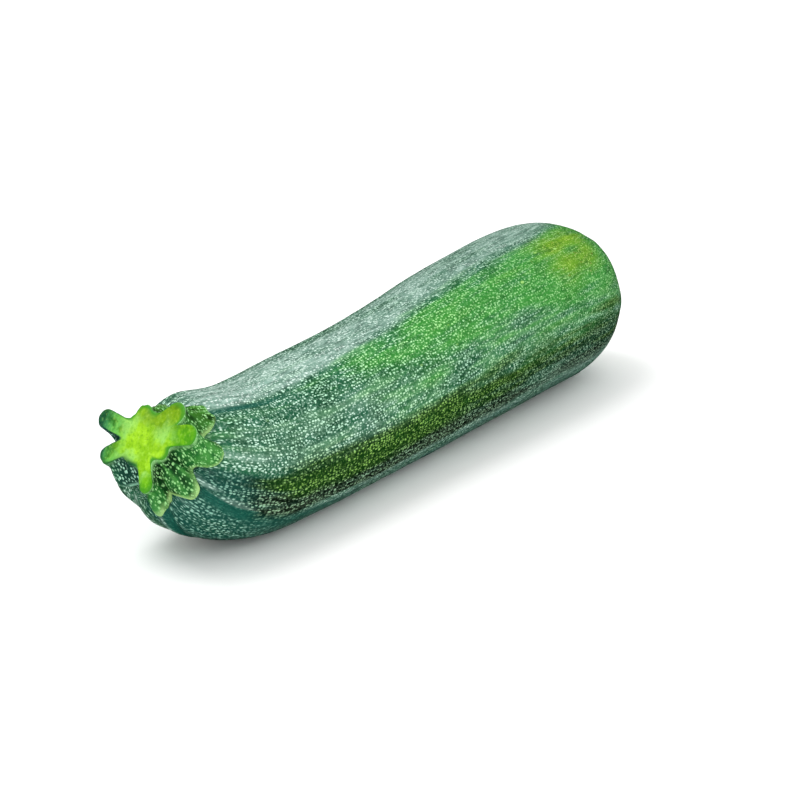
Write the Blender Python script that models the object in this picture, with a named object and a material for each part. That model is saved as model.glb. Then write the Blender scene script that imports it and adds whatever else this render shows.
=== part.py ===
"""A courgette lying on its side, with the stub of its stalk.

Two pieces: the fruit, and the stalk that was cut through above it. The long
axis runs along X with the stalk at -X, +Z is up, and the fruit rests on a
flattened facet of its own skin at z = 0.
"""

import math

import bmesh
import bpy
from mathutils import Vector

# Driving dimensions, in metres
FRUIT_LENGTH = 0.198        # neck to blossom end, along X
BELLY_RADIUS = 0.0240       # at its thickest, towards the blossom end
SHOULDER_RADIUS = 0.0193    # just behind the neck
NECK_RADIUS = 0.0134        # where the stalk sits
NECK_LIFT = 0.0100          # how far the neck curves up off the straight axis
NECK_SIDE = 0.0044          # how far the neck curves towards +Y
BLOSSOM_LENGTH = 0.031      # length over which the far end rounds off
BLOSSOM_SCAR_RADIUS = 0.0035
REST_DEPTH = 0.0008         # how deep the underside is flattened
RIM_LENGTH = 0.0012         # length over which the neck's rim rounds off
STALK_HEIGHT = 0.0088       # neck to the cut face
SEAT_GAP = 0.0003           # clearance between the stalk and the neck

# Where things happen along the fruit, as a share of its length
BELLY_AT = 0.82
SHOULDER_AT = 0.14
LIFT_ENDS_AT = 0.16
SIDE_ENDS_AT = 0.32
NECK_FADE = 0.040           # how fast the neck opens into the shoulder
RIDGE_FADE = 0.090          # how fast the neck's ridges soften
AXIS_STEP = 0.002           # over which the axis' direction is taken

# Form of the outlines
SHOULDER_EASE = 1.3         # above 1, the belly's swelling starts later
BLOSSOM_FULLNESS = 2.6      # above 2, the blossom end is blunter than a ball
BLOSSOM_ROUNDNESS = 2.1
RIM_DROP = 0.08             # share of the radius lost at the neck's rim
ARM_SHARPNESS = 9.0         # how crisply the stalk's arms meet

# The stalk's sizes as shares of the neck's radius
STALK_CORE = 0.50           # the cut face without its arms
FOOT_CORE = 0.69            # the foot without its toes
TOE_HALF_WIDTH = 0.30
LEAN_SIDE = -0.105          # how far the cut face stands off the neck's axis, towards +Y
LEAN_UP = 0.195             # and upwards

# How strongly the section is faceted: 0 is round, 1 is a polygon
FACETING_NECK = 0.42
FACETING_BODY = 0.15

# Mesh fineness
BODY_STATIONS = 30
BLOSSOM_STATIONS = 9
SECTOR_STEP = 9.0           # degrees between points round a section
STALK_POINTS = 72

# The ridges, which run from the stalk's arms down the whole fruit. Angles in
# degrees round the axis, 0 upwards and positive towards +Y; the arm's sizes as
# shares of the neck's radius:
# (angle at the neck, angle on the body, reach on the cut, half width on the cut, toe's reach)
RIDGES = [
    (20.0, 30.0, 0.58, 0.16, 0.92),
    (81.0, 86.0, 1.08, 0.17, 1.00),
    (124.0, 139.0, 0.93, 0.16, 1.00),
    (211.0, 219.0, 1.00, 0.14, 0.99),
    (258.0, 238.0, 0.78, 0.15, 0.99),
    (285.0, 269.0, 1.24, 0.17, 1.24),
    (319.0, 325.0, 0.98, 0.16, 1.13),
]

# The stub's levels: height, how much of the toes' spread is left there, and scale
STALK_LEVELS = [
    (0.00, 1.00, 0.97),
    (0.08, 1.00, 1.00),
    (0.20, 0.82, 0.98),
    (0.45, 0.38, 0.94),
    (0.75, 0.10, 0.95),
    (1.00, 0.00, 1.00),
]

SKIN_COLOUR = (0.022, 0.120, 0.055, 1.0)
STALK_COLOUR = (0.160, 0.420, 0.025, 1.0)


def smooth(value):
    """Ease from 0 to 1 as value goes from 0 to 1."""
    value = min(max(value, 0.0), 1.0)
    return value * value * (3.0 - 2.0 * value)


def body_radius(u):
    """Radius without the neck and the blossom end, u from 0 to 1."""
    share = smooth((u - SHOULDER_AT) / (BELLY_AT - SHOULDER_AT)) ** SHOULDER_EASE
    return SHOULDER_RADIUS + (BELLY_RADIUS - SHOULDER_RADIUS) * share


def end_factor(u):
    """Close the blossom end: 1 along the body, 0 at the tip."""
    into = (u - 1.0) * FRUIT_LENGTH / BLOSSOM_LENGTH + 1.0
    into = min(max(into, 0.0), 1.0)
    return (1.0 - into ** BLOSSOM_FULLNESS) ** (1.0 / BLOSSOM_ROUNDNESS)


def radius(u):
    neck = (1.0 - NECK_RADIUS / SHOULDER_RADIUS) * math.exp(-u / NECK_FADE)
    rim = RIM_DROP * math.exp(-u * FRUIT_LENGTH / RIM_LENGTH)
    return body_radius(u) * (1.0 - neck) * (1.0 - rim) * end_factor(u)


def axis_point(u):
    """Point of the fruit's bent axis, before the flat is cut."""
    lift = NECK_LIFT * max(0.0, 1.0 - u / LIFT_ENDS_AT) ** 2
    side = NECK_SIDE * max(0.0, 1.0 - u / SIDE_ENDS_AT) ** 2
    height = body_radius(u) * facet_share(180.0, u)
    return Vector((u * FRUIT_LENGTH, side, height + lift - REST_DEPTH))


def section_frame(u):
    """Axis point, direction, and the section's up and +Y directions."""
    ahead = axis_point(min(u + AXIS_STEP, 1.0))
    behind = axis_point(max(u - AXIS_STEP, 0.0))
    along = (ahead - behind).normalized()
    across = Vector((0.0, 0.0, 1.0)).cross(along).normalized()
    return axis_point(u), along, along.cross(across), across


def ridge_angles(u):
    """The ridges' angles at u, in rising order round the section."""
    near_neck = math.exp(-u / RIDGE_FADE)
    return [ridge[1] + (ridge[0] - ridge[1]) * near_neck for ridge in RIDGES]


def section_angles(u):
    """Angles of the points round a section, one exactly on each ridge."""
    ridges = ridge_angles(u)
    angles = []
    for index, start in enumerate(ridges):
        stop = ridges[(index + 1) % len(ridges)]
        width = (stop - start) % 360.0
        body_start = RIDGES[index][1]
        body_stop = RIDGES[(index + 1) % len(RIDGES)][1]
        count = max(2, round(((body_stop - body_start) % 360.0) / SECTOR_STEP))
        angles += [start + width * k / count for k in range(count)]
    return angles


def facet_share(angle, u):
    """How far the faceted section reaches at an angle, 1 on the ridges."""
    ridges = ridge_angles(u)
    faceting = FACETING_BODY + (FACETING_NECK - FACETING_BODY) * math.exp(-u / RIDGE_FADE)
    for index, start in enumerate(ridges):
        width = (ridges[(index + 1) % len(ridges)] - start) % 360.0
        into = (angle - start) % 360.0
        if into <= width:
            half = math.radians(width / 2.0)
            chord = math.cos(half) / math.cos(math.radians(into) - half)
            return 1.0 - faceting * (1.0 - chord)
    return 1.0


def section_points(u):
    centre, _, up, across = section_frame(u)
    points = []
    for angle in section_angles(u):
        reach = radius(u) * facet_share(angle, u)
        turn = math.radians(angle)
        points.append(centre + up * math.cos(turn) * reach + across * math.sin(turn) * reach)
    return points


def stations():
    """Shares of the length at which sections are placed."""
    body_end = 1.0 - BLOSSOM_LENGTH / FRUIT_LENGTH
    values = []
    for k in range(BODY_STATIONS):
        share = k / BODY_STATIONS
        values.append(body_end * share ** 1.35)
    for k in range(BLOSSOM_STATIONS + 1):
        turn = 0.5 * math.pi * k / (BLOSSOM_STATIONS + 1)
        values.append(body_end + (1.0 - body_end) * math.sin(turn))
    return values


def loft(mesh, rings):
    """Bridge closed rings of points one after another, and cap both ends."""
    rows = [[mesh.verts.new(point) for point in ring] for ring in rings]
    count = len(rows[0])
    for lower, upper in zip(rows, rows[1:]):
        for k in range(count):
            after = (k + 1) % count
            mesh.faces.new((lower[k], lower[after], upper[after], upper[k]))
    mesh.faces.new(list(reversed(rows[0])))
    mesh.faces.new(rows[-1])
    bmesh.ops.recalc_face_normals(mesh, faces=mesh.faces)


def finished_object(name, mesh, material, shift):
    bmesh.ops.translate(mesh, verts=mesh.verts, vec=shift)
    data = bpy.data.meshes.new(name)
    mesh.to_mesh(data)
    mesh.free()
    data.materials.append(material)
    data.shade_smooth()
    data.set_sharp_from_angle(angle=math.radians(40.0))
    piece = bpy.data.objects.new(name, data)
    bpy.context.scene.collection.objects.link(piece)
    return piece


def principled(name, colour, roughness):
    material = bpy.data.materials.new(name)
    material.use_nodes = True
    shader = material.node_tree.nodes["Principled BSDF"]
    shader.inputs["Base Color"].default_value = colour
    shader.inputs["Roughness"].default_value = roughness
    shader.inputs["Metallic"].default_value = 0.0
    return material


def fruit_mesh():
    """The whole fruit, cut level underneath where it rests."""
    mesh = bmesh.new()
    rings = [section_points(u) for u in stations()]
    tip, _, up, across = section_frame(1.0)
    scar = []
    for angle in section_angles(1.0):
        turn = math.radians(angle)
        scar.append(tip + (up * math.cos(turn) + across * math.sin(turn)) * BLOSSOM_SCAR_RADIUS)
    loft(mesh, rings + [scar])
    whole = mesh.verts[:] + mesh.edges[:] + mesh.faces[:]
    level = bmesh.ops.bisect_plane(
        mesh, geom=whole, dist=1e-6, plane_co=(0.0, 0.0, 0.0),
        plane_no=(0.0, 0.0, 1.0), clear_inner=True)
    rim = [item for item in level["geom_cut"] if isinstance(item, bmesh.types.BMEdge)]
    bmesh.ops.edgeloop_fill(mesh, edges=rim)
    bmesh.ops.recalc_face_normals(mesh, faces=mesh.faces)
    return mesh


def arm_reach(offset, reach, half_width):
    """Distance to the edge of a round-ended arm, seen at an angle off its line."""
    offset = abs((offset + 180.0) % 360.0 - 180.0)
    if offset >= 90.0:
        return 0.0
    turn = math.radians(offset)
    straight = reach - half_width
    if math.sin(turn) * straight > half_width * math.cos(turn):
        return half_width / math.sin(turn)
    inside = half_width ** 2 - (straight * math.sin(turn)) ** 2
    return straight * math.cos(turn) + math.sqrt(max(inside, 0.0))


def star_reach(angle, core, arms):
    """Radius of a lobed outline at an angle; arms are (angle, reach, half width)."""
    total = core ** ARM_SHARPNESS
    for at, reach, half_width in arms:
        total += arm_reach(angle - at, reach, half_width) ** ARM_SHARPNESS
    return total ** (1.0 / ARM_SHARPNESS)


def stalk_mesh():
    """The stub: toes spread on the neck, ribs, and the star of the cut face."""
    mesh = bmesh.new()
    neck, along, up, across = section_frame(0.0)
    lean = (across * LEAN_SIDE + up * LEAN_UP) * NECK_RADIUS
    arms = [(ridge[0], ridge[2], ridge[3]) for ridge in RIDGES]
    toes = [(ridge[0], ridge[4], TOE_HALF_WIDTH) for ridge in RIDGES]
    rings = []
    for height, spread, scale in STALK_LEVELS:
        base = neck - along * (SEAT_GAP + height * STALK_HEIGHT) + lean * height
        ring = []
        for k in range(STALK_POINTS):
            angle = 360.0 * k / STALK_POINTS
            cut = star_reach(angle, STALK_CORE, arms)
            foot = star_reach(angle, FOOT_CORE, toes)
            reach = (cut + (foot - cut) * spread) * scale * NECK_RADIUS
            turn = math.radians(angle)
            ring.append(base + (up * math.cos(turn) + across * math.sin(turn)) * reach)
        rings.append(ring)
    loft(mesh, rings)
    return mesh


def bounds_of(meshes):
    points = [vert.co for mesh in meshes for vert in mesh.verts]
    low = Vector([min(point[axis] for point in points) for axis in range(3)])
    high = Vector([max(point[axis] for point in points) for axis in range(3)])
    return low, high


def main():
    for old in list(bpy.data.objects):
        bpy.data.objects.remove(old, do_unlink=True)
    fruit = fruit_mesh()
    stalk = stalk_mesh()
    low, high = bounds_of([fruit, stalk])
    shift = Vector((-(low.x + high.x) / 2.0, -(low.y + high.y) / 2.0, -low.z))
    finished_object("fruit", fruit, principled("courgette_skin", SKIN_COLOUR, 0.4), shift)
    finished_object("stalk", stalk, principled("cut_stalk", STALK_COLOUR, 0.5), shift)


main()
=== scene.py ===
"""The looks of a courgette lying on its side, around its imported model.

Two pieces ride on the one body: the fruit, grown ring by ring along its bent
axis, and the stub of the cut stalk that spreads its toes over the neck.
"""

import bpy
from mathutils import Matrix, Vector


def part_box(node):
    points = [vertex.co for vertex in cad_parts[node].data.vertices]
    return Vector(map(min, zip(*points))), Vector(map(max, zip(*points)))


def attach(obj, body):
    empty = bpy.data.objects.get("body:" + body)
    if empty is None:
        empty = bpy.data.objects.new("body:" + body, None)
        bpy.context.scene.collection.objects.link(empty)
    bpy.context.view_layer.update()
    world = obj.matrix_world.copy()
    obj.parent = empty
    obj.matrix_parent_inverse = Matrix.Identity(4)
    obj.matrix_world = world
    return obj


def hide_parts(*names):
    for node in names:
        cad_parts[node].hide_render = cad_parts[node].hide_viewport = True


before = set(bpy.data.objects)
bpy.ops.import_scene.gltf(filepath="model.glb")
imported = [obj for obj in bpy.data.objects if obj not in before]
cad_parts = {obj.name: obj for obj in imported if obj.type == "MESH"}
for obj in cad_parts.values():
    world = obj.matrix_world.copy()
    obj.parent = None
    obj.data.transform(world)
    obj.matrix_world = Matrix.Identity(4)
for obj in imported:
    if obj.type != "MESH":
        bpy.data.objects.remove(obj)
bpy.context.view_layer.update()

import math

import bmesh
import bpy
import numpy as np
from mathutils import Vector, noise

# Sizes of the fruit, in metres
FRUIT_LENGTH = 0.198        # neck to blossom end, along X
BELLY_RADIUS = 0.0240
SHOULDER_RADIUS = 0.0193
NECK_RADIUS = 0.0134
NECK_LIFT = 0.0100
NECK_SIDE = 0.0044
BLOSSOM_LENGTH = 0.031
REST_DEPTH = 0.0008
BELLY_AT = 0.82
SHOULDER_AT = 0.14
LIFT_ENDS_AT = 0.16
SIDE_ENDS_AT = 0.32
NECK_FADE = 0.040
RIDGE_FADE = 0.090
FACETING_NECK = 0.42
FACETING_BODY = 0.15
RIM_DROP = 0.08
RIM_LENGTH = 0.0012
SCAR_RADIUS = 0.0035
NECK_TWIST = 0.05           # share of the length over which lines turn at the neck

# The ridges' angles round the axis in degrees, 0 upwards and positive towards
# +Y, at the neck and on the body
RIDGES = [(20.0, 30.0), (81.0, 86.0), (124.0, 139.0), (211.0, 219.0),
          (258.0, 238.0), (285.0, 269.0), (316.0, 325.0)]

# The stalk's arms, one to a ridge. Shares of the neck's radius: reach and half
# width on the cut, reach and half width of the toe; how far the toe turns from
# its arm, in degrees; how far the cut stands proud of its plane there, in metres
ARMS = [
    (0.59, 0.17, 0.92, 0.30, 0.0, -0.0002),
    (1.15, 0.17, 1.00, 0.30, 0.0, 0.0000),
    (0.96, 0.16, 1.00, 0.30, 0.0, 0.0000),
    (1.00, 0.14, 1.03, 0.23, -2.0, 0.0002),
    (0.66, 0.15, 1.08, 0.24, -10.0, -0.0006),
    (1.27, 0.18, 1.18, 0.25, 1.0, 0.0012),
    (0.98, 0.21, 1.16, 0.36, 8.0, -0.0005),
]
STALK_CORE = 0.49
FOOT_CORE = 0.60
STALK_HEIGHT = 0.0091
LEAN_SIDE = -0.105
LEAN_UP = 0.195

# Flutes of the neck: angle at the neck, angle on the body, height (below zero a
# furrow), half width, and the share of the length over which it fades
FLUTES = [
    (-20.0, -16.0, 0.0009, 0.0036, 0.20),
    (-30.0, -26.0, -0.0008, 0.0016, 0.17),
    (-73.0, -79.0, 0.0010, 0.0022, 0.09),
    (-88.0, -88.0, -0.0006, 0.0022, 0.07),
    (-96.0, -118.0, 0.0007, 0.0014, 0.06),
    (-109.0, -120.0, -0.0009, 0.0016, 0.07),
    (-127.0, -142.0, 0.0006, 0.0028, 0.07),
    (-149.0, -180.0, -0.0008, 0.0016, 0.05),
    (-157.0, -184.0, 0.0008, 0.0013, 0.05),
    (-169.0, -192.0, -0.0005, 0.0018, 0.05),
    (-180.0, -200.0, 0.0005, 0.0020, 0.05),
    (152.0, 150.0, -0.0007, 0.0026, 0.06),
    (126.0, 136.0, 0.0008, 0.0024, 0.07),
    (104.0, 112.0, -0.0008, 0.0026, 0.07),
    (82.0, 86.0, 0.0008, 0.0026, 0.08),
    (52.0, 56.0, -0.0009, 0.0028, 0.08),
    (24.0, 30.0, 0.0003, 0.0030, 0.10),
    (2.0, 2.0, -0.0005, 0.0026, 0.08),
]

# Pale lines along the neck's ribs, painted highlights and in part pale rubbed skin:
# angle at the neck, angle on the body, half width in degrees, share of the length where they end,
# and strength
WORN_AND_HIGHLIGHT_LINES = [
    (-24.0, -19.0, 3.6, 0.26, 1.0),
    (-10.0, -11.0, 9.0, 0.40, 0.75),
    (-71.0, -75.0, 4.0, 0.13, 0.45),
    (-99.0, -115.0, 4.5, 0.10, 0.45),
    (-158.0, -184.0, 2.4, 0.08, 0.6),
    (-128.0, -144.0, 5.0, 0.10, 0.25),
    (84.0, 88.0, 5.0, 0.18, 0.6),
    (126.0, 136.0, 4.0, 0.12, 0.5),
]

# Share of the length, and angle where the dusty bloom gives way to green
TOP_EDGE = [(0.0, -28.0), (0.05, -27.0), (0.09, -25.0), (0.13, -24.0), (0.17, -26.0),
            (0.24, -24.0), (0.30, -19.0), (0.36, -18.0), (0.42, -20.0), (0.50, -17.0),
            (0.66, -15.0), (0.80, -12.0), (0.86, -8.0), (0.95, 4.0), (1.0, 8.0)]

# What the bloom and the green streak come to at the blossom end
BLOOM_AT_END = 0.18
STREAK_AT_END = 0.55

# Mesh fineness
RING_POINTS = 64
BODY_STATIONS = 62
BLOSSOM_STATIONS = 12
STALK_POINTS = 150
HEM_RINGS = (2, 3, 4)       # the stub's rings round the edge of its toes

SKIN_LOW, SKIN_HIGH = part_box("fruit")
NECK_X = SKIN_HIGH.x - FRUIT_LENGTH
AXIS_Y = (SKIN_LOW.y + SKIN_HIGH.y) / 2.0


# Shape of the fruit

def smooth(value):
    value = min(max(value, 0.0), 1.0)
    return value * value * (3.0 - 2.0 * value)


def turn_from(angles, centre):
    """Signed turn from a centre angle, in degrees from -180 to 180."""
    return (np.asarray(angles) - centre + 180.0) % 360.0 - 180.0


def body_radius(u):
    """Radius without the neck and the blossom end, u from 0 to 1."""
    share = smooth((u - SHOULDER_AT) / (BELLY_AT - SHOULDER_AT)) ** 1.3
    return SHOULDER_RADIUS + (BELLY_RADIUS - SHOULDER_RADIUS) * share


def end_factor(u):
    into = (u - 1.0) * FRUIT_LENGTH / BLOSSOM_LENGTH + 1.0
    into = min(max(into, 0.0), 1.0)
    return (1.0 - into ** 2.6) ** (1.0 / 2.1)


def radius(u):
    neck = (1.0 - NECK_RADIUS / SHOULDER_RADIUS) * math.exp(-u / NECK_FADE)
    rim = RIM_DROP * math.exp(-u * FRUIT_LENGTH / RIM_LENGTH)
    return body_radius(u) * (1.0 - neck) * (1.0 - rim) * end_factor(u)


def ridge_angles(u):
    near_neck = math.exp(-u / RIDGE_FADE)
    return [body + (neck - body) * near_neck for neck, body in RIDGES]


def turned(at_neck, on_body, u):
    """Angle of a line that leaves the neck at one angle and runs on at another."""
    return on_body + (at_neck - on_body) * np.exp(-u / NECK_TWIST)


def facet_share(angle, u):
    """How far the faceted section reaches at an angle, 1 on the ridges."""
    ridges = ridge_angles(u)
    faceting = FACETING_BODY + (FACETING_NECK - FACETING_BODY) * math.exp(-u / RIDGE_FADE)
    for index, start in enumerate(ridges):
        width = (ridges[(index + 1) % len(ridges)] - start) % 360.0
        into = (angle - start) % 360.0
        if into <= width:
            half = math.radians(width / 2.0)
            chord = math.cos(half) / math.cos(math.radians(into) - half)
            return 1.0 - faceting * (1.0 - chord)
    return 1.0


def axis_point(u):
    lift = NECK_LIFT * max(0.0, 1.0 - u / LIFT_ENDS_AT) ** 2
    side = NECK_SIDE * max(0.0, 1.0 - u / SIDE_ENDS_AT) ** 2
    height = body_radius(u) * facet_share(180.0, u)
    return Vector((NECK_X + u * FRUIT_LENGTH, AXIS_Y + side, height + lift - REST_DEPTH))


def section_frame(u):
    """Axis point, direction, and the section's up and +Y directions."""
    step = 0.002
    along = (axis_point(min(u + step, 1.0)) - axis_point(max(u - step, 0.0))).normalized()
    across = Vector((0.0, 0.0, 1.0)).cross(along).normalized()
    return axis_point(u), along, along.cross(across), across


def flute_height(u, angles):
    """How far the neck's flutes and the body's long swell lift the skin."""
    u = np.asarray(u, float)
    size = SHOULDER_RADIUS * (0.75 + 0.25 * np.clip(u / 0.14, 0.0, 1.0))
    lift = np.zeros(np.broadcast(u, angles).shape)
    for at_neck, on_body, height, half_width, fade in FLUTES:
        off = turn_from(angles, turned(at_neck, on_body, u))
        spread = np.radians(off) * size / half_width
        lift += height * np.exp(-spread ** 2) * np.exp(-(u / fade) ** 1.5)
    rise = np.exp(-(turn_from(angles, 22.0) / 38.0) ** 2) * np.exp(-((u - 0.27) / 0.12) ** 2)
    return lift + 0.0012 * rise


def ring_angles(u):
    """Angles of a ring's points, shared out so that one lies on each ridge."""
    ridges = ridge_angles(u)
    on_body = [ridge[1] for ridge in RIDGES]
    widths = [(after - at) % 360.0 for at, after in zip(on_body, on_body[1:] + on_body[:1])]
    counts = [max(2, round(width / 360.0 * RING_POINTS)) for width in widths]
    counts[widths.index(max(widths))] += RING_POINTS - sum(counts)
    angles = []
    for index, start in enumerate(ridges):
        width = (ridges[(index + 1) % len(ridges)] - start) % 360.0
        angles += [start + width * k / counts[index] for k in range(counts[index])]
    return angles, counts


def stations():
    """Shares of the length at which the rings lie, closer together at both ends."""
    body_end = 1.0 - BLOSSOM_LENGTH / FRUIT_LENGTH
    body = [body_end * (k / BODY_STATIONS) ** 1.3 for k in range(BODY_STATIONS)]
    turns = [0.5 * math.pi * k / (BLOSSOM_STATIONS + 1) for k in range(BLOSSOM_STATIONS + 1)]
    return body + [body_end + (1.0 - body_end) * math.sin(turn) for turn in turns]


# Modelling helpers

def take(piece):
    """Deselect everything and make one piece active."""
    for other in bpy.context.selected_objects:
        other.select_set(False)
    piece.select_set(True)
    bpy.context.view_layer.objects.active = piece


def add_circle(name, points, size, place):
    for other in bpy.context.selected_objects:
        other.select_set(False)
    bpy.ops.mesh.primitive_circle_add(
        vertices=points, radius=size, location=place, rotation=(0.0, math.pi / 2.0, 0.0))
    piece = bpy.context.object
    piece.name = name
    piece.data.name = name
    bpy.ops.object.transform_apply(location=True, rotation=True, scale=True)
    return piece


def subdivide_surface(piece, levels):
    take(piece)
    modifier = piece.modifiers.new("Rounding", "SUBSURF")
    modifier.levels = levels
    modifier.render_levels = levels
    bpy.ops.object.modifier_apply(modifier=modifier.name)


def write_attribute(piece, name, values):
    """Store one number, or one vector, for each point of a piece."""
    values = np.asarray(values, np.float32)
    kind = "FLOAT_VECTOR" if values.ndim == 2 else "FLOAT"
    attribute = piece.data.attributes.new(name, kind, "POINT")
    attribute.data.foreach_set("vector" if values.ndim == 2 else "value", values.ravel())


def read_points(piece):
    points = np.zeros(len(piece.data.vertices) * 3, np.float32)
    piece.data.vertices.foreach_get("co", points)
    return points.reshape(-1, 3)


def write_points(piece, points):
    piece.data.vertices.foreach_set("co", np.asarray(points, np.float32).ravel())
    piece.data.update()


def read_vectors(piece, name):
    values = np.zeros(len(piece.data.vertices) * 3, np.float32)
    piece.data.attributes[name].data.foreach_get("vector", values)
    return values.reshape(-1, 3)


def ease(values):
    values = np.clip(values, 0.0, 1.0)
    return values * values * (3.0 - 2.0 * values)


# The fruit

def grow_tube(shares):
    """Extrude a ring from the neck to the blossom end; note each ring's number."""
    piece = add_circle("courgette_fruit", RING_POINTS, radius(shares[0]), axis_point(shares[0]))
    bpy.ops.object.mode_set(mode="EDIT")
    bpy.ops.mesh.select_all(action="SELECT")
    mesh = bmesh.from_edit_mesh(piece.data)
    mesh.verts.layers.int.new("ring")
    for number in range(1, len(shares)):
        here = axis_point(shares[number - 1])
        there = axis_point(shares[number])
        bpy.ops.mesh.extrude_edges_move(TRANSFORM_OT_translate={"value": there - here})
        size = radius(shares[number]) / radius(shares[number - 1])
        bpy.ops.transform.resize(value=(size, size, size), center_override=there)
        mesh = bmesh.from_edit_mesh(piece.data)
        rings = mesh.verts.layers.int["ring"]
        for vert in mesh.verts:
            if vert.select:
                vert[rings] = number
    bpy.ops.object.mode_set(mode="OBJECT")
    return piece


def press_facets(piece, shares):
    """Move every ring into its faceted section and crease the ridges."""
    mesh = bmesh.new()
    mesh.from_mesh(piece.data)
    rings = mesh.verts.layers.int["ring"]
    grown = mesh.verts.layers.float_vector.new("grown")
    slots = {}
    for vert in mesh.verts:
        u = shares[vert[rings]]
        offset = vert.co - axis_point(u)
        way_round = math.degrees(math.atan2(offset.y, offset.z)) / 360.0
        slots[vert] = round(way_round * RING_POINTS) % RING_POINTS
    for vert in mesh.verts:
        u = shares[vert[rings]]
        centre, _, up, across = section_frame(u)
        angle = ring_angles(u)[0][slots[vert]]
        turn = math.radians(angle)
        outwards = up * math.cos(turn) + across * math.sin(turn)
        vert.co = centre + outwards * radius(u) * facet_share(angle, u)
        size = body_radius(u) * end_factor(u)
        vert[grown] = Vector((u * FRUIT_LENGTH, math.sin(turn) * size, math.cos(turn) * size))
    crease = mesh.edges.layers.float.new("crease_edge")
    counts = ring_angles(0.5)[1]
    ridge_slots = {sum(counts[:k]) for k in range(len(counts))}
    for edge in mesh.edges:
        first, second = edge.verts
        if slots[first] == slots[second] and slots[first] in ridge_slots:
            u = shares[first[rings]]
            edge[crease] = 0.30 + 0.45 * math.exp(-u / 0.15)
    mesh.to_mesh(piece.data)
    mesh.free()


def close_ends(piece):
    """Turn the neck's ring and the blossom end's inwards and fill the middle."""
    take(piece)
    ends = ((0, axis_point(0.0), (0.94, 0.80, 0.60, 0.35)),
            (len(stations()) - 1, axis_point(1.0), (0.7, 0.4)))
    for number, middle, sizes in ends:
        bpy.ops.object.mode_set(mode="EDIT")
        bpy.ops.mesh.select_all(action="DESELECT")
        bpy.ops.mesh.select_mode(type="EDGE")
        mesh = bmesh.from_edit_mesh(piece.data)
        rings = mesh.verts.layers.int["ring"]
        for edge in mesh.edges:
            if edge.is_boundary and edge.verts[0][rings] == number:
                edge.select_set(True)
        bmesh.update_edit_mesh(piece.data)
        reached = 1.0
        for size in sizes:
            bpy.ops.mesh.extrude_edges_move(TRANSFORM_OT_translate={"value": (0.0, 0.0, 0.0)})
            share = size / reached
            bpy.ops.transform.resize(value=(share, share, share), center_override=middle)
            reached = size
            mesh = bmesh.from_edit_mesh(piece.data)
            grown = mesh.verts.layers.float_vector["grown"]
            for vert in mesh.verts:
                if vert.select:
                    vert[grown] = vert[grown] * Vector((1.0, share, share))
        bpy.ops.mesh.edge_face_add()
        bpy.ops.mesh.poke()
        bpy.ops.object.mode_set(mode="OBJECT")
    bpy.ops.object.mode_set(mode="EDIT")
    bpy.ops.mesh.select_all(action="SELECT")
    bpy.ops.mesh.normals_make_consistent(inside=False)
    bpy.ops.object.mode_set(mode="OBJECT")


def vertex_normals(piece):
    normals = np.zeros(len(piece.data.vertices) * 3, np.float32)
    piece.data.vertices.foreach_get("normal", normals)
    return normals.reshape(-1, 3)


def wobble(points, size, seed):
    """Smooth noise from -1 to 1 with bumps of about the given size."""
    offset = Vector((seed * 7.31, seed * 3.17, seed * 5.73))
    return np.array([noise.noise(Vector(point) / size + offset) for point in points])


def weather_skin(piece):
    """Uneven growth: long swells, shallow ribs, pits, and a flattened underside."""
    grown = read_vectors(piece, "grown")
    along = grown[:, 0] / FRUIT_LENGTH
    stretched = grown * np.array([0.22, 1.0, 1.0])
    swell = 0.00035 * wobble(grown, 0.030, 1)
    ribs = 0.00016 * wobble(stretched, 0.0050, 2)
    pits = 0.00005 * wobble(grown, 0.0016, 3)
    angles = np.degrees(np.arctan2(grown[:, 1], grown[:, 2]))
    lift = (swell + ribs + pits) * ease(along / 0.03) + flute_height(along, angles)
    lift *= ease((1.0 - along) / 0.02)
    points = read_points(piece) + vertex_normals(piece) * lift[:, None]
    points[:, 2] = np.where(points[:, 2] < 0.0, points[:, 2] * 0.02, points[:, 2])
    write_points(piece, points)


class Skin:
    """Where each point of the skin lies, and the noise that frays its zones."""

    def __init__(self, grown):
        self.grown = grown
        self.u = grown[:, 0] / FRUIT_LENGTH
        self.angle = np.degrees(np.arctan2(grown[:, 1], grown[:, 2]))
        self.stray = wobble(grown * np.array([0.25, 1.0, 1.0]), 0.006, 4)
        self.patch = wobble(grown, 0.012, 5)
        drift = wobble(grown * np.array([0.5, 1.0, 1.0]), 0.017, 6)
        self.frayed = self.angle + 4.0 * self.stray + 4.0 * drift * self.ramp(0.15, 0.35)
        # the bloom's lower edge and its softness, the streak's lower edge, the crease
        self.top_edge = np.interp(self.u, *zip(*TOP_EDGE))
        self.blend = 7.0 + 16.0 * self.ramp(0.20, 0.45)
        self.low_edge = -45.0 - 7.0 * self.ramp(0.23, 0.53) - 16.0 * self.ramp(0.62, 0.76)
        self.crease = -80.0 - 11.0 * self.ramp(0.06, 0.26)

    def ramp(self, none_at, full_at):
        """From 0 at one share of the length to 1 at another."""
        return ease((self.u - none_at) / (full_at - none_at))

    def band(self, low, high, soft_low, soft_high):
        """1 between two angles, faded over a width at each."""
        return (ease((self.frayed - low) / soft_low + 0.5)
                * ease((high - self.frayed) / soft_high + 0.5))


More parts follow.
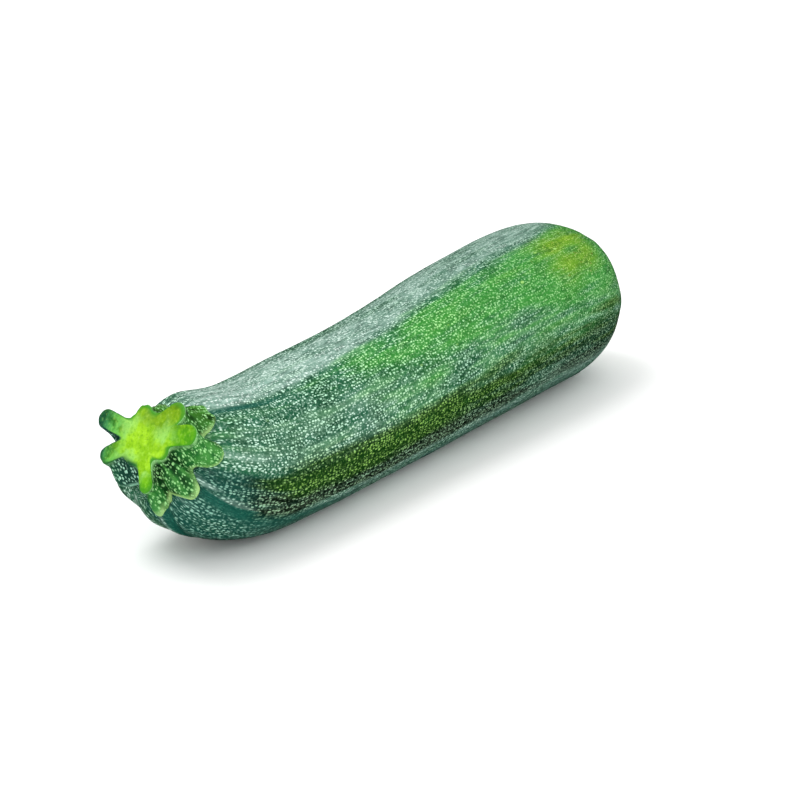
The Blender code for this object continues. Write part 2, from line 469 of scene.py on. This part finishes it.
def bloom_and_bounce_light_zone(skin):
    """The dusty bloom along the top and the back, thinner on the side, and painted bounce light
    that lightens the belly.
    """
    ramp, band = skin.ramp, skin.band
    top = band(skin.top_edge, 23.0 + 4.0 * ramp(0.3, 0.6), skin.blend, 22.0)
    back = band(48.0, 104.0, 18.0, 18.0)
    side = band(skin.crease, skin.low_edge, 8.0, 24.0)
    near = band(skin.crease, skin.top_edge, 8.0, 8.0) * ramp(0.34, 0.18)
    # painted bounce light: the underside lightened with the bloom's pale colours
    belly = band(-172.0, -112.0, 20.0, 10.0) * ramp(0.06, 0.11)
    bloom_and_bounce_light = (top + 0.6 * back) * (1.0 - 0.20 * ramp(0.14, 0.28))
    bloom_and_bounce_light = bloom_and_bounce_light + (0.16 + 0.22 * ramp(0.20, 0.30)) * side + 0.12 * near
    bloom_and_bounce_light = bloom_and_bounce_light * (0.9 + 0.35 * skin.patch) * (0.35 + 0.65 * ramp(0.005, 0.055))
    return np.clip(np.maximum(bloom_and_bounce_light, 0.42 * belly), 0.0, 1.0)


def streak_zone(skin):
    """The green streak below the bloom, one at the back, and a tinge lower down."""
    ramp, band = skin.ramp, skin.band
    streak = band(skin.low_edge - 6.0, skin.top_edge, 30.0, skin.blend + 2.0)
    streak = streak * np.clip((skin.u - 0.14) / 0.30, 0.0, 1.0) * (0.9 + 0.25 * skin.patch)
    back = 0.8 * band(104.0, 132.0, 18.0, 18.0) * ramp(0.2, 0.4)
    tinge = band(-98.0, skin.low_edge + 12.0, 12.0, 12.0) * (0.85 + 0.4 * skin.patch)
    tinge = tinge * (0.20 + 0.35 * ramp(0.24, 0.38) + 0.15 * ramp(0.60, 0.75))
    return np.maximum.reduce([streak, back, tinge])


def low_zones(skin):
    """Olive and near black on the lower side, teal under the neck and belly."""
    ramp, band = skin.ramp, skin.band
    fading = 1.0 - 0.6 * ramp(0.40, 0.70)
    soft = 10.0 + 12.0 * ramp(0.35, 0.65)
    low = -99.0 - 9.0 * ramp(0.08, 0.16)
    olive = band(low, -84.0, 12.0, soft + 16.0) * ramp(0.03, 0.13) * fading
    dark = band(-121.0, -84.0, 10.0, soft + 8.0) * ramp(-0.01, 0.14) * (0.4 + 0.6 * fading)
    behind = 0.75 * ease((skin.frayed - 132.0) / 20.0) * ramp(0.04, 0.10)
    neck = 0.9 * band(-176.0, -85.0, 14.0, 12.0) * ramp(0.26, 0.12)
    belly = 0.55 * band(-176.0, -126.0, 14.0, 10.0)
    return olive, np.maximum(dark, behind), np.maximum(neck, belly)


def yellow_zone(skin, streak):
    """The ripe patch by the blossom end, and warm touches in the streak."""
    ripe = skin.band(-52.0, -13.0, 30.0, 22.0) * skin.ramp(0.70, 0.85) * skin.ramp(0.96, 0.84)
    ripe = ripe * ease(0.80 + 0.6 * skin.patch + 0.5 * skin.stray)
    warm = ease(0.5 + 1.4 * wobble(skin.grown * np.array([0.4, 1.0, 1.0]), 0.009, 12))
    return np.maximum(ripe, (0.10 + 0.15 * skin.ramp(0.4, 0.7)) * warm * streak)


def worn_and_highlight_zone(skin):
    """Pale lines along the neck's ribs: painted highlights, and in part pale rubbed skin."""
    worn_and_highlight = np.zeros(len(skin.u))
    for at_neck, on_body, half_width, end, strength in WORN_AND_HIGHLIGHT_LINES:
        off = turn_from(skin.angle, turned(at_neck, on_body, skin.u))
        line = np.exp(-(off / half_width) ** 2) * skin.ramp(end, 0.4 * end)
        worn_and_highlight = np.maximum(worn_and_highlight, strength * line * (0.8 + 0.3 * skin.stray))
    return np.clip(worn_and_highlight, 0.0, 1.0)


def bare_zone(skin):
    """Furrows with few flecks: two under the neck, one below the bloom, one low down."""
    ramp = skin.ramp

    def furrow(angles, at, half_width, soft):
        return ease((half_width - abs(turn_from(angles, at))) / soft)

    side = turned(-109.0, -120.0, skin.u) - 2.0 * skin.stray
    side = furrow(skin.angle, side, 5.5, 2.5) * ramp(0.095, 0.065)
    under = furrow(skin.angle, turned(-149.0, -180.0, skin.u), 6.5, 3.0) * ramp(0.09, 0.06)
    crease = furrow(skin.angle, turned(-30.0, -27.0, skin.u), 4.0, 2.5) * ramp(0.21, 0.11)
    low = furrow(skin.frayed, -124.0 - 14.0 * ramp(0.10, 0.24), 11.0, 6.0)
    low = low * ramp(0.36, 0.24) * ramp(0.045, 0.075)
    return np.maximum.reduce([side, under, 0.6 * crease, 0.35 * low])


def scar_zone(skin, points):
    """The ragged cork disc where the blossom sat."""
    from_tip = np.linalg.norm(points - np.array(axis_point(1.0)), axis=1)
    ragged = 0.0006 + 0.0005 * skin.patch + 0.0006 * skin.stray
    return ease((SCAR_RADIUS + ragged - from_tip) / 0.0009)


def paint_zones(piece):
    """Masks of the skin's zones, run together towards the blossom end."""
    skin = Skin(read_vectors(piece, "grown"))
    streak = streak_zone(skin)
    olive, dark, teal = low_zones(skin)
    apart = skin.ramp(0.995, 0.915)
    masks = {
        "bloom_and_bounce_light": BLOOM_AT_END + (bloom_and_bounce_light_zone(skin) - BLOOM_AT_END) * apart,
        "streak": STREAK_AT_END + (streak - STREAK_AT_END) * apart,
        "teal": teal * apart,
        "dark": dark * apart,
        "olive": olive * apart,
        "yellow": yellow_zone(skin, streak),
        "worn_and_highlight": worn_and_highlight_zone(skin),
        "bare": bare_zone(skin),
        "scar": scar_zone(skin, read_points(piece)),
    }
    for name, values in masks.items():
        write_attribute(piece, name, values)


def build_fruit():
    shares = stations()
    fruit = grow_tube(shares)
    press_facets(fruit, shares)
    close_ends(fruit)
    subdivide_surface(fruit, 2)
    weather_skin(fruit)
    paint_zones(fruit)
    take(fruit)
    bpy.ops.object.shade_smooth()
    return fruit


# The stalk

def arm_reach(offset, reach, half_width):
    """Distance to the edge of a round-ended arm, seen at an angle off its line."""
    offset = abs(float(turn_from(offset, 0.0)))
    if offset >= 90.0:
        return 0.0
    turn = math.radians(offset)
    straight = reach - half_width
    if math.sin(turn) * straight > half_width * math.cos(turn):
        return half_width / math.sin(turn)
    inside = half_width ** 2 - (straight * math.sin(turn)) ** 2
    return straight * math.cos(turn) + math.sqrt(max(inside, 0.0))


def star_reach(angle, core, arms):
    """Radius of the lobed outline at an angle; arms are (angle, reach, half width)."""
    sharpness = 9.0
    total = core ** sharpness
    for at, reach, half_width in arms:
        total += arm_reach(angle - at, reach, half_width) ** sharpness
    return total ** (1.0 / sharpness)


def proud(angle):
    """How far the cut stands above its plane at an angle, blended from the arms."""
    weights = [math.exp(-float(turn_from(angle, at)) ** 2 / 300.0) for at, _ in RIDGES]
    return sum(w * arm[5] for w, arm in zip(weights, ARMS)) / (sum(weights) + 0.05)


def cut_reach(angle):
    arms = [(ridge[0], arm[0], arm[1]) for ridge, arm in zip(RIDGES, ARMS)]
    return star_reach(angle, STALK_CORE, arms) * NECK_RADIUS


def toe_reach(angle):
    toes = [(ridge[0] + arm[4], arm[2], arm[3]) for ridge, arm in zip(RIDGES, ARMS)]
    return star_reach(angle, FOOT_CORE, toes) * NECK_RADIUS


def stalk_angles():
    """Angles round the star, closer together where its outline runs outwards."""
    fine = 1440
    points = []
    for k in range(fine + 1):
        angle = 360.0 * k / fine
        reach = cut_reach(angle)
        turn = math.radians(angle)
        points.append((math.cos(turn) * reach, math.sin(turn) * reach))
    steps = [math.dist(a, b) for a, b in zip(points, points[1:])]
    run = np.concatenate([[0.0], np.cumsum(steps)])
    wanted = run[-1] * np.arange(STALK_POINTS) / STALK_POINTS
    return list(np.interp(wanted, run, 360.0 * np.arange(fine + 1) / fine))


def outwards(angle, frame_at):
    _, _, up, across = frame_at
    turn = math.radians(angle)
    return up * math.cos(turn) + across * math.sin(turn)


def laid_on_neck(angle, reach, off_skin):
    """A point over the neck's end, or past its rim laid on the skin's side."""
    rim = radius(0.0) * facet_share(angle, 0.0)
    slide = max(0.0, reach - rim - 0.0006)
    u = slide / FRUIT_LENGTH
    at = section_frame(u)
    skin = radius(u) * facet_share(angle, u) + float(flute_height(u, angle))
    over_rim = smooth(slide / 0.002)
    side = outwards(angle, at)
    point = at[0] + side * min(reach, skin)
    return point + side * off_skin * over_rim - at[1] * off_skin * (1.0 - over_rim)


def stalk_rings():
    """Rings of the stub from under its toes, up its sides and over the cut."""
    at = section_frame(0.0)
    neck, along, up, across = at
    top = neck + (across * LEAN_SIDE + up * LEAN_UP) * NECK_RADIUS - along * STALK_HEIGHT
    angles = stalk_angles()
    # share of the toe's reach, and height off the skin
    toe_levels = [(0.60, -0.0004), (0.90, -0.0003), (0.975, 0.0000), (1.0, 0.0006),
                  (0.985, 0.0012), (0.94, 0.0018)]
    # share of the way up, share left of the toe's spread, pinch of the waist
    side_levels = [(0.22, 0.86, 0.98), (0.36, 0.68, 0.95), (0.52, 0.46, 0.93),
                   (0.68, 0.26, 0.935), (0.83, 0.10, 0.96), (0.94, 0.02, 1.0)]
    # share of the cut's reach, and how far the ring lies below its plane
    cut_levels = [(1.0, 0.00035), (0.985, 0.00008), (0.94, 0.0), (0.82, 0.0), (0.66, 0.0),
                  (0.48, 0.0), (0.30, 0.0), (0.14, 0.0)]
    toe_top = toe_levels[-1]
    rings = []
    for share, off_skin in toe_levels:
        rings.append([laid_on_neck(a, toe_reach(a) * share, off_skin) for a in angles])
    for height, spread, pinch in side_levels:
        ring = []
        for angle in angles:
            low = laid_on_neck(angle, toe_reach(angle) * toe_top[0], toe_top[1])
            toe = (low - neck).dot(outwards(angle, at))
            foot_level = (neck - low).dot(along)
            middle = neck.lerp(top + along * STALK_HEIGHT, height)
            reach = (cut_reach(angle) + (toe - cut_reach(angle)) * spread) * pinch
            level = foot_level + (STALK_HEIGHT + proud(angle) - foot_level) * height
            ring.append(middle + outwards(angle, at) * reach - along * level)
        rings.append(ring)
    for share, drop in cut_levels:
        ring = []
        for angle in angles:
            dish = 0.0004 * (1.0 - share) ** 2
            level = proud(angle) * share ** 1.5 - drop - dish
            ring.append(top + outwards(angle, at) * cut_reach(angle) * share - along * level)
        rings.append(ring)
    return rings, len(toe_levels) + len(side_levels)


def place_ring(piece, ring, number):
    """Put the selected ring's points where they belong, in order round it."""
    mesh = bmesh.from_edit_mesh(piece.data)
    layer = mesh.verts.layers.int.get("ring") or mesh.verts.layers.int.new("ring")
    here = next(vert for vert in mesh.verts if vert.select)
    before = None
    for point in ring:
        here.co = point
        here[layer] = number
        sides = [edge.other_vert(here) for edge in here.link_edges if edge.select]
        before, here = here, next(vert for vert in sides if vert is not before)
    bmesh.update_edit_mesh(piece.data)


def build_stalk():
    """The stub: toes laid on the neck, ribbed sides, and the star of the cut face."""
    rings, first_cut = stalk_rings()
    along = section_frame(0.0)[1]
    stalk = add_circle("courgette_stalk", STALK_POINTS, NECK_RADIUS, axis_point(0.0))
    bpy.ops.object.mode_set(mode="EDIT")
    bpy.ops.mesh.select_mode(type="EDGE")
    bpy.ops.mesh.select_all(action="SELECT")
    mesh = bmesh.from_edit_mesh(stalk.data)
    mesh.verts.layers.int.new("ring")
    bmesh.update_edit_mesh(stalk.data)
    place_ring(stalk, rings[0], 0)
    for number in range(1, len(rings)):
        bpy.ops.mesh.extrude_edges_move(TRANSFORM_OT_translate={"value": -along * 0.0005})
        place_ring(stalk, rings[number], number)
    bpy.ops.mesh.edge_face_add()
    bpy.ops.mesh.poke()
    bpy.ops.mesh.select_all(action="DESELECT")
    mesh = bmesh.from_edit_mesh(stalk.data)
    for edge in mesh.edges:
        edge.select_set(edge.is_boundary)
    bmesh.update_edit_mesh(stalk.data)
    bpy.ops.mesh.edge_face_add()
    bpy.ops.mesh.poke()
    bpy.ops.mesh.select_all(action="SELECT")
    bpy.ops.mesh.normals_make_consistent(inside=False)
    bpy.ops.object.mode_set(mode="OBJECT")
    mark_stalk(stalk, first_cut)
    subdivide_surface(stalk, 2)
    roughen_stalk(stalk)
    tint_cut(stalk)
    take(stalk)
    bpy.ops.object.shade_smooth()
    return stalk


def mark_stalk(piece, first_cut):
    """Note which points are on the cut or the toes' hem, and where each point lies."""
    neck, along, up, across = section_frame(0.0)
    top = (across * LEAN_SIDE + up * LEAN_UP) * NECK_RADIUS
    mesh = bmesh.new()
    mesh.from_mesh(piece.data)
    rings = mesh.verts.layers.int["ring"]
    cut = mesh.verts.layers.float.new("cut")
    hem = mesh.verts.layers.float.new("hem")
    grown = mesh.verts.layers.float_vector.new("grown")
    for vert in mesh.verts:
        offset = vert.co - neck
        height = -offset.dot(along)
        middle = offset - top * max(0.0, height / STALK_HEIGHT)
        vert[grown] = Vector((height, middle.dot(across), middle.dot(up)))
        vert[cut] = 1.0 if vert[rings] > first_cut else 0.0
        vert[hem] = 1.0 if vert[rings] in HEM_RINGS else 0.0
    for vert in mesh.verts:
        if min(edge.other_vert(vert)[rings] for edge in vert.link_edges) > first_cut:
            vert[cut] = 1.0
    mesh.to_mesh(piece.data)
    mesh.free()


def along_ribs(grown, size, seed):
    """Noise drawn out down the stub's sides and along its toes."""
    out = np.hypot(grown[:, 1], grown[:, 2]) + 1e-6
    ring = grown[:, 1:] / out[:, None] * NECK_RADIUS
    run = 0.16 * (out - grown[:, 0])
    return wobble(np.column_stack([ring, run]), size, seed)


def roughen_stalk(piece):
    """Fibres end-on in the cut, and long ribs and warts down the sides."""
    grown = read_vectors(piece, "grown")
    cut = np.zeros(len(piece.data.vertices), np.float32)
    piece.data.attributes["cut"].data.foreach_get("value", cut)
    fibres = 0.00022 * wobble(grown, 0.0030, 6) + 0.00010 * wobble(grown, 0.0010, 7)
    ribs = 0.00040 * along_ribs(grown, 0.0022, 8)
    warts = 0.00012 * wobble(grown, 0.0011, 9)
    push = fibres * cut + (ribs + warts) * (1.0 - cut)
    write_points(piece, read_points(piece) + vertex_normals(piece) * push[:, None])


def tint_cut(piece):
    """Masks of the stub's colours: how far out, rim, crests (for painted shade in the furrows),
    lip, arms and stripes.
    """
    grown = read_vectors(piece, "grown")
    angles = np.degrees(np.arctan2(grown[:, 1], grown[:, 2]))
    out = np.hypot(grown[:, 1], grown[:, 2])
    blue = np.exp(-(turn_from(angles, 100.0) / 34.0) ** 4)
    blue = np.maximum(blue, np.exp(-(turn_from(angles, 160.0) / 34.0) ** 4) * 0.9)
    olive = np.exp(-(turn_from(angles, -12.0) / 48.0) ** 4)
    round_turns = np.arange(0.0, 361.0, 2.0)
    edge = np.interp(angles % 360.0, round_turns, [cut_reach(a) for a in round_turns])
    foot = np.interp(angles % 360.0, round_turns, [toe_reach(a) for a in round_turns])
    up_stub = np.clip(grown[:, 0] / STALK_HEIGHT, 0.0, 1.0)
    size = foot + (edge - foot) * up_stub
    # how near a crest each point lies, for painted shade in the furrows between the arms
    crest_light_furrow_shade = ease((size / NECK_RADIUS - 0.62) / 0.42)
    write_attribute(piece, "out", out / NECK_RADIUS)
    write_attribute(piece, "rim", ease(1.0 - (edge - out - 0.0002) / 0.0013))
    write_attribute(piece, "crest_light_furrow_shade", crest_light_furrow_shade)
    write_attribute(piece, "lip", ease((up_stub - 0.80) / 0.14))
    write_attribute(piece, "blue", blue)
    write_attribute(piece, "olive", olive)
    write_attribute(piece, "stripe", along_ribs(grown, 0.0016, 14))


# Materials

def linear(hex_colour):
    """An sRGB hex colour as linear RGBA."""
    channels = [int(hex_colour[k:k + 2], 16) / 255.0 for k in (1, 3, 5)]
    curve = [c / 12.92 if c <= 0.04045 else ((c + 0.055) / 1.055) ** 2.4 for c in channels]
    return (*curve, 1.0)


def add(tree, kind, inputs, **settings):
    """Add a node; inputs map its sockets to values or to other nodes' outputs."""
    made = tree.nodes.new("ShaderNode" + kind)
    for name, value in settings.items():
        setattr(made, name, value)
    for socket, value in inputs.items():
        if isinstance(value, bpy.types.NodeSocket):
            tree.links.new(value, made.inputs[socket])
        else:
            made.inputs[socket].default_value = value
    return made


def new_material(name):
    material = bpy.data.materials.new(name)
    material.use_nodes = True
    tree = material.node_tree
    return material, tree, tree.nodes["Principled BSDF"]


FLECK_SPACING = 0.00060     # between the skin's pale flecks
FLECK_STRETCH = 0.55        # their width over their length
STALK_FLECK_SPACING = 0.00058
SPOT_SPACING = 0.0060       # between the few large spots
STREAK_WIDTH = 0.0024       # of the streaks in the bloom

# The skin's zones: mask, colour of the skin between the flecks, colour of the
# flecks, and how far the bloom's streaks fray the zone's edge
SKIN_ZONES = [
    # the bloom, and painted bounce light that lightens the belly
    ("bloom_and_bounce_light", "#709484", "#D8F0E4", 0.35),
    ("streak", "#368A34", "#B2F2A0", 0.35),
    ("teal", "#0E4A3E", "#88C0AA", 0.35),
    ("dark", "#011606", "#94BC94", 0.35),
    ("olive", "#0E3C08", "#8EC25C", 0.35),
    ("yellow", "#6A9C1C", "#B8DA5C", 0.12),
    # pale lines on the neck's ribs: painted highlights, in part pale rubbed skin
    ("worn_and_highlight", "#86AC9C", "#ECFCF4", 0.35),
    ("bare", "#125446", "#3C8670", 0.35),
]


def wiring(tree):
    """Short names for the nodes that the materials are wired from."""
    def mask(name):
        return add(tree, "Attribute", {}, attribute_name=name).outputs["Fac"]

    def vector(name):
        return add(tree, "Attribute", {}, attribute_name=name).outputs["Vector"]

    def mix(factor, first, second):
        first = linear(first) if isinstance(first, str) else first
        second = linear(second) if isinstance(second, str) else second
        return add(tree, "Mix", {0: factor, 6: first, 7: second}, data_type="RGBA").outputs[2]

    def fit(value, low, high, out_low=0.0, out_high=1.0):
        return add(tree, "MapRange", {0: value, 1: low, 2: high, 3: out_low, 4: out_high},
                   interpolation_type="SMOOTHSTEP").outputs[0]

    def calc(operation, first, second):
        return add(tree, "Math", {0: first, 1: second}, operation=operation).outputs[0]

    def stretch(coordinates, scale):
        return add(tree, "Mapping", {0: coordinates, 3: scale}).outputs[0]

    def clouds(coordinates, size, detail=2.0):
        return add(tree, "TexNoise", {"Vector": coordinates, "Scale": 1.0 / size,
                                      "Detail": detail}).outputs[0]

    return mask, vector, mix, fit, calc, stretch, clouds


def courgette_skin():
    """Waxed living skin: deep green, a dusty bloom that dulls it, pale flecks, painted highlights
    on the neck's ribs and painted bounce light on the belly.
    """
    material, tree, shader = new_material("courgette_skin")
    mask, vector, mix, fit, calc, stretch, clouds = wiring(tree)
    grown = vector("grown")
    lengthwise = stretch(grown, (FLECK_STRETCH, 1.0, 1.0))
    streaks = clouds(stretch(grown, (0.10, 1.0, 1.0)), STREAK_WIDTH, 3.0)
    grain = clouds(grown, 0.0006, 1.0)

    # flecks packed close, each with its own size and brightness and a soft edge
    flecks = add(tree, "TexVoronoi", {"Vector": lengthwise, "Scale": 1.0 / FLECK_SPACING,
                                      "Randomness": 0.66})
    kind = add(tree, "SeparateColor", {0: flecks.outputs["Color"]})
    size = fit(kind.outputs[0], 0.0, 1.0, 0.29, 0.43)
    size = calc("ADD", size, fit(grain, 0.3, 0.7, -0.06, 0.06))
    fleck = fit(calc("SUBTRACT", size, flecks.outputs["Distance"]), -0.09, 0.15)
    fleck = calc("MULTIPLY", fleck, fit(kind.outputs[1], 0.0, 1.0, 0.64, 1.0))
    along = add(tree, "SeparateXYZ", {0: grown}).outputs[0]
    fleck = calc("MULTIPLY", fleck, fit(along, 0.06, 0.15, 1.0, 0.60))
    spots = add(tree, "TexVoronoi", {"Vector": lengthwise, "Scale": 1.0 / SPOT_SPACING})
    spot = fit(spots.outputs["Distance"], 0.04, 0.10, 0.8, 0.0)

    deep = fit(clouds(grown, 0.008), 0.35, 0.65)
    net = mix(deep, "#104A2E", "#206244")
    light = mix(deep, "#BCF2CE", "#D2F8E2")
    for name, net_colour, fleck_colour, fray in SKIN_ZONES:
        ragged = calc("ADD", mask(name), fit(streaks, 0.2, 0.8, -fray, fray))
        share = calc("MULTIPLY", fit(ragged, 0.0, 1.0), fit(mask(name), 0.0, 0.25))
        net = mix(share, net, net_colour)
        light = mix(share, light, fleck_colour)
    mottle = clouds(stretch(grown, (0.5, 1.0, 1.0)), 0.0032, 3.0)
    net = mix(calc("MULTIPLY", fit(mottle, 0.50, 0.66, 0.0, 0.5), mask("streak")), net, "#1A641C")
    net = mix(fit(grain, 0.45, 0.75, 0.0, 0.25), net, light)
    lines = clouds(stretch(grown, (0.16, 1.0, 1.0)), 0.0009, 2.0)
    furrows = calc("MULTIPLY", fit(lines, 0.50, 0.66), fit(mask("bloom_and_bounce_light"), 0.0, 1.0, 0.20, 0.38))
    net = mix(furrows, net, "#04241A")
    crests = calc("MULTIPLY", fit(lines, 0.50, 0.34), calc("MULTIPLY", mask("bloom_and_bounce_light"), 0.25))
    net = mix(crests, net, light)
    skin = mix(calc("MULTIPLY", fleck, fit(mask("bare"), 0.0, 1.0, 1.0, 0.4)), net, light)
    skin = mix(calc("MULTIPLY", spot, mask("streak")), skin, "#A6D870")
    specks = calc("MULTIPLY", fit(clouds(grown, 0.0016, 2.0), 0.66, 0.73), mask("yellow"))
    skin = mix(calc("MULTIPLY", specks, 0.8), skin, "#7A5A1C")
    cork = mix(fit(clouds(grown, 0.0009, 3.0), 0.4, 0.65), "#5E5226", "#A8966A")
    skin = mix(mask("scar"), skin, cork)

    bumps = calc("ADD", fleck, calc("MULTIPLY", streaks, 0.8))
    bump = add(tree, "Bump", {"Height": bumps, "Strength": 0.8, "Distance": 0.00012})
    tree.links.new(skin, shader.inputs["Base Color"])
    tree.links.new(bump.outputs[0], shader.inputs["Normal"])
    tree.links.new(fit(mask("bloom_and_bounce_light"), 0.0, 1.0, 0.33, 0.46), shader.inputs["Roughness"])
    shader.inputs["Specular IOR Level"].default_value = 0.25
    return material


def cut_stalk():
    """Freshly cut fibrous stem: wet lime pith, and tough flecked green sides."""
    material, tree, shader = new_material("courgette_stalk_flesh")
    mask, vector, mix, fit, calc, stretch, clouds = wiring(tree)
    grown = vector("grown")
    cloud = clouds(grown, 0.0026, 4.0)
    patches = clouds(stretch(grown, (0.3, 1.0, 1.0)), 0.0052, 2.0)
    out = calc("ADD", mask("out"), fit(cloud, 0.2, 0.8, -0.09, 0.09))

    grain = clouds(grown, 0.0007, 2.0)
    pith = mix(fit(cloud, 0.42, 0.62), "#7CB404", "#96CC1C")
    pale = calc("MULTIPLY", fit(patches, 0.46, 0.60), fit(out, 0.15, 0.45))
    pith = mix(pale, pith, "#90CC58")
    arms = mix(fit(cloud, 0.35, 0.65), "#469204", "#70B408")
    arms = mix(mask("blue"), arms, mix(fit(cloud, 0.4, 0.62), "#0E5A24", "#50A04C"))
    arms = mix(mask("olive"), arms, mix(fit(cloud, 0.4, 0.6), "#527A02", "#749A04"))
    face = mix(fit(out, 0.50, 0.86), pith, arms)
    shaded = calc("MULTIPLY", mask("olive"), fit(out, 0.12, 0.42, 0.0, 0.85))
    face = mix(shaded, face, mix(fit(cloud, 0.4, 0.6), "#507C02", "#6E9804"))
    shaded = calc("MULTIPLY", mask("blue"), fit(out, 0.30, 0.66, 0.0, 0.8))
    face = mix(shaded, face, mix(fit(cloud, 0.42, 0.6), "#146420", "#58A848"))
    tips = calc("MULTIPLY", mask("blue"), fit(out, 0.76, 1.02, 0.0, 0.85))
    face = mix(tips, face, mix(fit(cloud, 0.42, 0.6), "#06382C", "#1E6C48"))
    face = mix(fit(grain, 0.52, 0.72, 0.0, 0.18), face, "#BCE468")
    face = mix(fit(grain, 0.46, 0.30, 0.0, 0.35), face, "#3C7A0A")
    face = mix(calc("MULTIPLY", mask("rim"), fit(cloud, 0.35, 0.6, 0.6, 1.0)), face,
               mix(mask("blue"), "#3C8A1C", "#0A4230"))

    # flecks down the sides and on the ribs' crests; the furrows between the arms stay dark as
    # painted shade, the crests painted lighter
    flecks = add(tree, "TexVoronoi", {"Vector": stretch(grown, (0.45, 1.0, 1.0)),
                                      "Scale": 1.0 / STALK_FLECK_SPACING,
                                      "Randomness": 0.85})
    kind = add(tree, "SeparateColor", {0: flecks.outputs["Color"]})
    fleck = fit(calc("SUBTRACT", fit(kind.outputs[0], 0.0, 1.0, 0.28, 0.48),
                     flecks.outputs["Distance"]), -0.08, 0.14)
    fleck = calc("MULTIPLY", fleck, fit(kind.outputs[1], 0.0, 1.0, 0.5, 1.0))
    side = mix(fit(cloud, 0.4, 0.6), "#063810", "#1C6824")
    # painted shade: the sides lighter on the crests, dark in the furrows between the arms
    ridge = calc("MULTIPLY", mask("crest_light_furrow_shade"), fit(patches, 0.35, 0.6, 0.4, 1.0))
    side = mix(calc("MULTIPLY", ridge, 0.60), side, "#368A38")
    side = mix(fit(cloud, 0.50, 0.62, 0.0, 0.5), side, mix(mask("blue"), "#0A4820", "#0A3C32"))
    side = mix(calc("MULTIPLY", mask("olive"), 0.5), side, "#467C14")
    side = mix(fit(mask("stripe"), 0.02, 0.30, 0.0, 0.75), side,
               mix(mask("blue"), "#042C0E", "#04261E"))
    side = mix(fit(mask("stripe"), -0.10, -0.35, 0.0, 0.35), side,
               mix(mask("blue"), "#5CAC4C", "#48907C"))
    # the blue arms' sides, with the same painted shade in the furrows and lighter crests
    side = mix(mask("blue"), side, mix(ridge, "#0C4032", "#2C6C58"))
    side = mix(calc("MULTIPLY", fleck, 0.9), side, mix(mask("blue"), "#A8EC98", "#ACE4CC"))
    hem = calc("MULTIPLY", mask("hem"), fit(patches, 0.40, 0.58, 0.25, 0.9))
    side = mix(hem, side, mix(mask("blue"), "#A0CC7C", "#84BCA4"))
    lip = calc("MULTIPLY", mask("lip"), fit(cloud, 0.4, 0.6, 0.2, 0.8))
    side = mix(lip, side, mix(mask("blue"), "#8CC87C", "#0C4638"))
    skin = mix(fit(mask("cut"), 0.35, 0.65), side, face)

    bumps = calc("ADD", calc("MULTIPLY", fleck, fit(mask("cut"), 0.0, 0.5, 1.0, 0.0)), cloud)
    bump = add(tree, "Bump", {"Height": bumps, "Strength": 0.7, "Distance": 0.00016})
    tree.links.new(skin, shader.inputs["Base Color"])
    tree.links.new(bump.outputs[0], shader.inputs["Normal"])
    shader.inputs["Roughness"].default_value = 0.36
    shader.inputs["Specular IOR Level"].default_value = 0.20
    return material


def studio_floor():
    """Matt white board."""
    material, _, shader = new_material("white_board")
    shader.inputs["Base Color"].default_value = linear("#FCFCFC")
    shader.inputs["Roughness"].default_value = 0.9
    return material


# The studio

def add_light(name, size, power, place):
    """A round white studio lamp, turned to the middle of the floor."""
    data = bpy.data.lights.new(name, "AREA")
    data.shape = "DISK"
    data.size = size
    data.energy = power
    light = bpy.data.objects.new(name, data)
    bpy.context.scene.collection.objects.link(light)
    light.location = place
    light.rotation_euler = (-Vector(place)).to_track_quat("-Z", "Y").to_euler()


def build_studio():
    for other in bpy.context.selected_objects:
        other.select_set(False)
    bpy.ops.mesh.primitive_plane_add(size=8.0, location=(0.0, 0.0, -0.00005))
    floor = bpy.context.object
    floor.name = "floor"
    floor.data.materials.append(studio_floor())
    floor.visible_glossy = False
    world = bpy.data.worlds.new("soft_white")
    world.use_nodes = True
    world.node_tree.nodes["Background"].inputs["Color"].default_value = linear("#FFFFFF")
    world.node_tree.nodes["Background"].inputs["Strength"].default_value = 1.10
    world.cycles_visibility.glossy = False      # the sheen comes from the two lamps
    bpy.context.scene.world = world
    add_light("key", 0.6, 4.0, (-0.30, 0.35, 0.95))
    add_light("fill", 0.9, 2.0, (-0.75, -0.75, 0.60))


CAMERA_AIM = Vector((0.0392, 0.0219, 0.0))
CAMERA_DISTANCE = 0.6285
CAMERA_HEADING = 57.84      # degrees that the view turns from +Y towards +X
CAMERA_TILT = 18.4          # degrees that it looks down
CAMERA_LENS = 99.0


def add_camera():
    data = bpy.data.cameras.new("camera")
    data.lens = CAMERA_LENS
    data.sensor_width = 36.0
    camera = bpy.data.objects.new("camera", data)
    bpy.context.scene.collection.objects.link(camera)
    heading = math.radians(CAMERA_HEADING)
    tilt = math.radians(CAMERA_TILT)
    forward = Vector((math.sin(heading) * math.cos(tilt), math.cos(heading) * math.cos(tilt),
                      -math.sin(tilt)))
    camera.location = CAMERA_AIM - forward * CAMERA_DISTANCE
    camera.rotation_euler = forward.to_track_quat("-Z", "Y").to_euler()
    bpy.context.scene.camera = camera


add_camera()
build_studio()
bpy.context.scene.view_settings.view_transform = "Standard"

fruit = build_fruit()
fruit.data.materials.append(courgette_skin())
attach(fruit, "root")
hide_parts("fruit")

stalk = build_stalk()
stalk.data.materials.append(cut_stalk())
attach(stalk, "root")
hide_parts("stalk")
